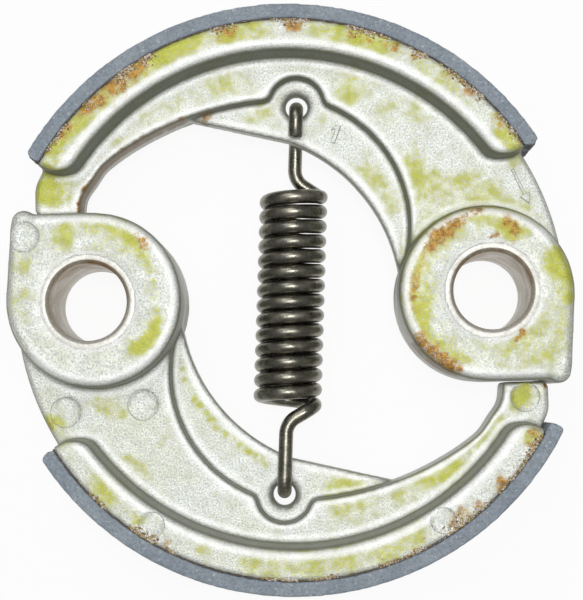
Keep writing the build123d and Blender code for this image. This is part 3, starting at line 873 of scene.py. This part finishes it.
def lay_spring(settings, material):
    """The tension spring, in two halves that each run from the coil's middle to their own shoe's hook."""
    place = Matrix.Translation((0, 0, MID)) @ Matrix.Rotation(-settings.lean, 4, "Z")
    half_turn = Matrix.Rotation(math.pi, 4, "X")
    route = spring_route(settings)
    for side, turn in (("upper", Matrix.Identity(4)), ("lower", half_turn)):
        mesh = wire_mesh("spring_" + side + "_half", route, settings.wire / 2)
        mesh.transform(place @ turn)
        piece = bpy.data.objects.new("spring_" + side + "_half", mesh)
        bpy.context.scene.collection.objects.link(piece)
        mesh.shade_smooth()
        mesh.set_sharp_from_angle(angle=math.radians(60))
        mesh.materials.append(material)
        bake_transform(piece)
        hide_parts("tension_spring")


def lay_bead(work, shade, centre, turn, face, radius):
    """The thin uneven bead of adhesive in the joint, on one face of one shoe."""
    sides, last = 6, None
    for k in range(295):
        angle = math.radians(31.5 + 0.4 * k)
        out = Vector((math.cos(angle), math.sin(angle), 0)) * turn
        spot = centre + out * (RIM_OUTER + 0.03 * MM) + Vector((0, 0, MID + face * 6.02 * MM))
        size = radius * (1 + 0.6 * noise.noise(spot / (0.7 * MM)))
        ring = []
        for m in range(sides):
            round_angle = 2 * math.pi * m / sides
            away = out * math.cos(round_angle) + Vector((0, 0, math.sin(round_angle)))
            ring.append(work.verts.new(spot + away * size))
            ring[-1][shade] = -0.5
        if last:
            for m in range(sides):
                work.faces.new((last[m], last[(m + 1) % sides], ring[(m + 1) % sides], ring[m]))
        else:
            work.faces.new(ring)
        last = ring
    work.faces.new(last)


def lay_adhesive(side, settings, material):
    """Crumbs of set adhesive in clumps along the joint between rim and lining, on both faces, over a thin dark bead."""
    turn = SIDES[side]
    pick = random.Random(11 if side == "upper" else 23)
    centre = Vector((-OFFSET * turn, -OFFSET * turn, 0))
    work = bmesh.new()
    shade = work.verts.layers.float.new("shade")
    for face in (1, -1):
        lay_bead(work, shade, centre, turn, face, settings.bead)
        for start, end, reach in SQUEEZE[side]:
            shift = 0 if face == 1 else pick.uniform(-6, 6)
            count = round(end - start)
            clumps = [(pick.uniform(start, end) + shift, reach * pick.uniform(0.35, 1)) for _ in range(count)]
            for _ in range(round((end - start) * (15 if face == 1 else 8))):
                place, depth = pick.choice(clumps)
                angle = pick.gauss(place, 0.7)
                low, high = JOINT_SPAN[side]
                angle = math.radians(angle - 2 * max(angle - high, 0) + 2 * max(low - angle, 0))
                inward = abs(pick.gauss(0, 0.5)) * depth * MM
                out = Vector((math.cos(angle), math.sin(angle), 0))
                size = settings.crumb * pick.uniform(0.4, 1.15)
                rise = MID + face * ((6.24 if inward > 0.1 * MM else 6.1) * MM)
                spot = centre + out * (RIM_OUTER - inward) + Vector((0, 0, rise))
                turned = Matrix.Rotation(angle + math.pi / 2 + pick.uniform(-0.9, 0.9), 4, "Z")
                squeeze = Matrix.Diagonal((size, size * pick.uniform(0.5, 0.9), size * pick.uniform(0.25, 0.5), 1))
                made = bmesh.ops.create_icosphere(
                    work, subdivisions=1, radius=1.0, matrix=Matrix.Translation(spot) @ turned @ squeeze
                )
                tone = pick.random() ** 0.6
                for vert in made["verts"]:
                    away = vert.co - spot
                    vert.co = spot + away * (1 + 0.5 * noise.noise(vert.co / (0.2 * MM)))
                    vert[shade] = tone
    bmesh.ops.recalc_face_normals(work, faces=work.faces)
    mesh = bpy.data.meshes.new(side + "_adhesive")
    work.to_mesh(mesh)
    work.free()
    new_piece(side + "_adhesive", mesh, side, material)


def raised_shape(name, outline, place, height, material):
    """A flat raised mark with sloping sides, standing on the upper shoe."""
    work = bmesh.new()
    base = [work.verts.new(Vector((x * MM, y * MM, -0.15 * MM))) for x, y in outline]
    face = work.faces.new(base)
    risen = bmesh.ops.extrude_face_region(work, geom=[face])
    lifted = [v for v in risen["geom"] if isinstance(v, bmesh.types.BMVert)]
    bmesh.ops.translate(work, verts=lifted, vec=(0, 0, 0.15 * MM + height))
    bmesh.ops.recalc_face_normals(work, faces=work.faces)
    tops = [e for e in work.edges if all(v.co.z > 0 for v in e.verts)]
    bmesh.ops.bevel(work, geom=tops, offset=0.12 * MM, segments=3, affect="EDGES", profile=0.5)
    mesh = bpy.data.meshes.new(name)
    work.to_mesh(mesh)
    work.free()
    mesh.transform(place)
    new_piece(name, mesh, "upper", material)
    mesh.set_sharp_from_angle(angle=math.radians(40))


class CLUTCH_OT_castings(bpy.types.Operator):
    """Lay the two cast shoes over their CAD nodes"""

    bl_idname = "clutch.castings"
    bl_label = "Castings"

    def execute(self, context):
        settings = context.scene.clutch_casting
        material = cast_skin(settings)
        for side in SIDES:
            lay_casting(side, settings, context.scene.clutch_bore, material)
        return {"FINISHED"}


class CLUTCH_OT_bores(bpy.types.Operator):
    """Set the machined bore into each pivot eye"""

    bl_idname = "clutch.bores"
    bl_label = "Bores"

    def execute(self, context):
        settings = context.scene.clutch_bore
        material = bored_metal(settings)
        for side in SIDES:
            lay_bore(side, settings, material)
        return {"FINISHED"}


class CLUTCH_OT_linings(bpy.types.Operator):
    """Lay the two friction linings"""

    bl_idname = "clutch.linings"
    bl_label = "Linings"

    def execute(self, context):
        settings = context.scene.clutch_lining
        material = friction_facing(settings)
        for side in SIDES:
            lay_lining(side, settings, material)
        return {"FINISHED"}


class CLUTCH_OT_spring(bpy.types.Operator):
    """Wind the tension spring and hook it into both shoes"""

    bl_idname = "clutch.spring"
    bl_label = "Spring"

    def execute(self, context):
        settings = context.scene.clutch_spring
        lay_spring(settings, blackened_wire(settings))
        return {"FINISHED"}


class CLUTCH_OT_adhesive(bpy.types.Operator):
    """Scatter the squeezed-out adhesive along both joints"""

    bl_idname = "clutch.adhesive"
    bl_label = "Adhesive"

    def execute(self, context):
        settings = context.scene.clutch_adhesive
        material = set_resin(settings)
        for side in SIDES:
            lay_adhesive(side, settings, material)
        return {"FINISHED"}


class CLUTCH_OT_marks(bpy.types.Operator):
    """Raise the cavity number and the turning arrow on the upper shoe"""

    bl_idname = "clutch.marks"
    bl_label = "Marks"

    def execute(self, context):
        material = bpy.data.materials["die_cast_skin"]
        digit = ((-0.3, -1.25), (0.3, -1.25), (0.3, 1.25), (-0.1, 1.25), (-0.75, 0.75), (-0.75, 0.35), (-0.3, 0.6))
        place = Matrix.Translation((6.6 * MM, 21.7 * MM, MID + FLANGE)) @ Matrix.Rotation(math.radians(-22), 4, "Z")
        raised_shape("cavity_number", digit, place, 0.22 * MM, material)
        arrow = ((-0.2, 2.5), (-0.2, -1.2), (-0.75, -1.2), (0, -2.6), (0.75, -1.2), (0.2, -1.2), (0.2, 2.5))
        place = Matrix.Translation((30.6 * MM, 13.85 * MM, MID + WEB)) @ Matrix.Rotation(math.radians(24.4), 4, "Z")
        raised_shape("turning_arrow", arrow, place, 0.2 * MM, material)
        return {"FINISHED"}


class CLUTCH_OT_stage(bpy.types.Operator):
    """Set up the floor, the soft studio light and the camera"""

    bl_idname = "clutch.stage"
    bl_label = "Stage"

    def execute(self, context):
        settings = context.scene.clutch_stage
        scene = context.scene
        scene.view_settings.view_transform = "Standard"
        self.lay_floor(settings)
        self.light_world(scene)
        for name, place, size, power in (
            ("overhead", (0, 0.02, 0.6), 0.3, 1.1),
            ("side", (-0.15, 0.4, 0.5), 0.3, 0.6),
            ("glint", (0.03, 0.03, 0.42), 0.05, 0.28),
        ):
            lamp = bpy.data.lights.new(name, "AREA")
            lamp.size = size
            lamp.energy = power
            holder = bpy.data.objects.new(name, lamp)
            scene.collection.objects.link(holder)
            holder.location = place
            holder.rotation_euler = (Vector((0, 0, 0)) - holder.location).to_track_quat("-Z", "Y").to_euler()
        camera = bpy.data.objects.new("camera", bpy.data.cameras.new("camera"))
        scene.collection.objects.link(camera)
        camera.location = (settings.across, settings.along, settings.height)
        camera.rotation_euler = settings.aim
        camera.data.lens = settings.lens
        camera.data.sensor_width = 36
        camera.data.clip_start = 0.01
        scene.camera = camera
        return {"FINISHED"}

    def lay_floor(self, settings):
        n = Nodes("pale_floor")
        cloud = n.remap(n.noise(40, 3), 0.3, 0.7, 0.0, 0.06)
        n.set(Base_Color=n.mix(cloud, settings.floor, (0.8, 0.8, 0.8, 1)), Roughness=0.7)
        path = n.add("ShaderNodeLightPath")
        seen = n.math("MAXIMUM", path.outputs["Is Camera Ray"], path.outputs["Is Glossy Ray"])
        seen = n.math("MAXIMUM", seen, path.outputs["Is Transmission Ray"])
        white = n.add("ShaderNodeEmission")
        blend = n.add("ShaderNodeMixShader")
        n.link(n.math("MULTIPLY", seen, 0.92), blend.inputs[0])
        n.link(n.shader.outputs["BSDF"], blend.inputs[1])
        n.link(white.outputs[0], blend.inputs[2])
        out = next(node for node in n.tree.nodes if node.type == "OUTPUT_MATERIAL")
        n.link(blend.outputs[0], out.inputs["Surface"])
        mesh = bpy.data.meshes.new("floor")
        mesh.from_pydata([(-2, -2, 0), (2, -2, 0), (2, 2, 0), (-2, 2, 0)], [], [(0, 1, 2, 3)])
        mesh.materials.append(n.material)
        floor = bpy.data.objects.new("floor", mesh)
        floor.location.z = -0.02 * MM
        bpy.context.scene.collection.objects.link(floor)

    def light_world(self, scene):
        world = bpy.data.worlds.new("soft_sky")
        scene.world = world
        world.use_nodes = True
        tree = world.node_tree
        tree.nodes.clear()
        place = tree.nodes.new("ShaderNodeTexCoord")
        split = tree.nodes.new("ShaderNodeSeparateXYZ")
        slope = tree.nodes.new("ShaderNodeMapRange")
        for key, number in zip(("From Min", "From Max", "To Min", "To Max"), (-0.1, 0.9, 0.12, 0.4)):
            slope.inputs[key].default_value = number
        path = tree.nodes.new("ShaderNodeLightPath")
        shown = tree.nodes.new("ShaderNodeMath")
        shown.operation = "MAXIMUM"
        sky = tree.nodes.new("ShaderNodeBackground")
        out = tree.nodes.new("ShaderNodeOutputWorld")
        tree.links.new(place.outputs["Generated"], split.inputs[0])
        tree.links.new(split.outputs["Z"], slope.inputs["Value"])
        tree.links.new(slope.outputs["Result"], shown.inputs[0])
        tree.links.new(path.outputs["Is Camera Ray"], shown.inputs[1])
        tree.links.new(shown.outputs[0], sky.inputs["Strength"])
        tree.links.new(sky.outputs[0], out.inputs[0])


class CLUTCH_PT_panel(bpy.types.Panel):
    """Steps and settings of the clutch"""

    bl_idname = "CLUTCH_PT_panel"
    bl_label = "Centrifugal Clutch"
    bl_space_type = "VIEW_3D"
    bl_region_type = "UI"
    bl_category = "Clutch"

    def draw(self, context):
        for operator in OPERATORS:
            self.layout.operator(operator.bl_idname)
        for name, group in SETTINGS.items():
            box = self.layout.box()
            for key in group.__annotations__:
                box.prop(getattr(context.scene, name), key)


SETTINGS = {
    "clutch_casting": CastingSettings,
    "clutch_bore": BoreSettings,
    "clutch_lining": LiningSettings,
    "clutch_spring": SpringSettings,
    "clutch_adhesive": AdhesiveSettings,
    "clutch_stage": StageSettings,
}
OPERATORS = (
    CLUTCH_OT_castings,
    CLUTCH_OT_bores,
    CLUTCH_OT_linings,
    CLUTCH_OT_spring,
    CLUTCH_OT_adhesive,
    CLUTCH_OT_marks,
    CLUTCH_OT_stage,
)


def register():
    for made in (*SETTINGS.values(), *OPERATORS, CLUTCH_PT_panel):
        bpy.utils.register_class(made)
    for name, group in SETTINGS.items():
        setattr(bpy.types.Scene, name, PointerProperty(type=group))


def unregister():
    for name in SETTINGS:
        delattr(bpy.types.Scene, name)
    for made in reversed((*SETTINGS.values(), *OPERATORS, CLUTCH_PT_panel)):
        bpy.utils.unregister_class(made)


def main():
    register()
    bpy.ops.clutch.castings()
    bpy.ops.clutch.bores()
    bpy.ops.clutch.linings()
    bpy.ops.clutch.spring()
    bpy.ops.clutch.adhesive()
    bpy.ops.clutch.marks()
    bpy.ops.clutch.stage()


if __name__ == "__main__":
    main()
